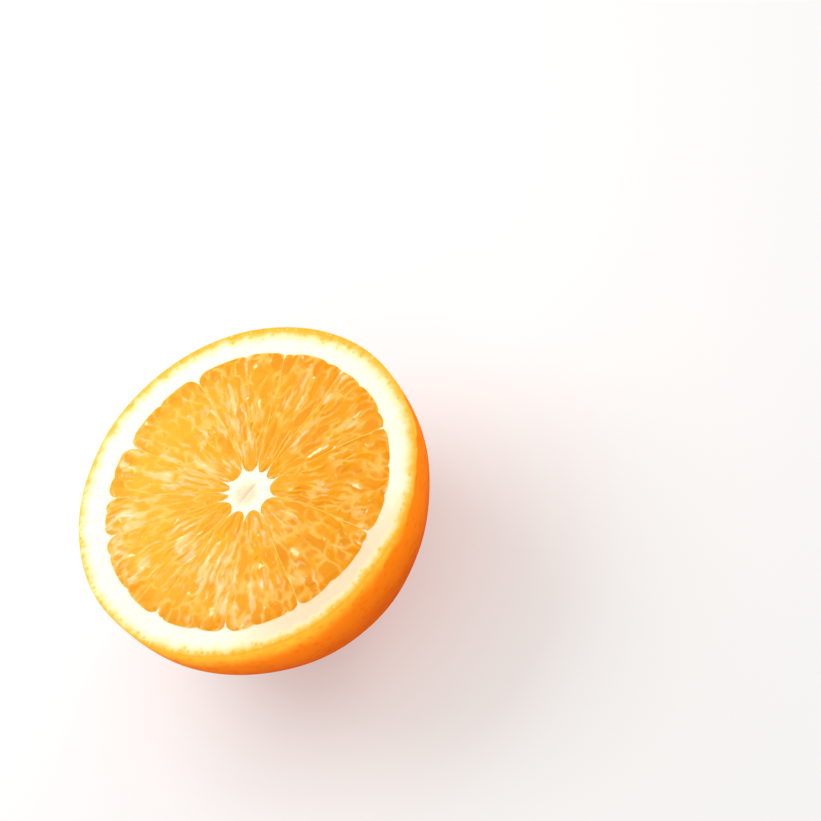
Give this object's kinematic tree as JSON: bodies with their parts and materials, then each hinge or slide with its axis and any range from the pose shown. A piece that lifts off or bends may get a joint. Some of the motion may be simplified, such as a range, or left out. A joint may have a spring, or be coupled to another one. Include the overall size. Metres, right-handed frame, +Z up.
{
  "type": "orange half",
  "caption": "Half of an orange, cut across its segments, resting on a small flat spot of its rind with the juicy cut face up.",
  "frame": {"origin": "middle of the small flat spot under the rind, straight below the middle of the cut face", "axes": "+Z up, square to the cut face and out of it; +X along the crease in the core"},
  "size_m": [0.0779, 0.0779, 0.0393],
  "materials": {
    "peel": "waxy orange rind with fine pores, its cut edge yellow to orange",
    "pith": "soft white pith, core and membranes, faintly fibrous",
    "flesh": "wet juice sacs, orange with pale walls"
  },
  "bodies": {
    "root": {"orange_half": "peel"}
  },
  "joints": []
}
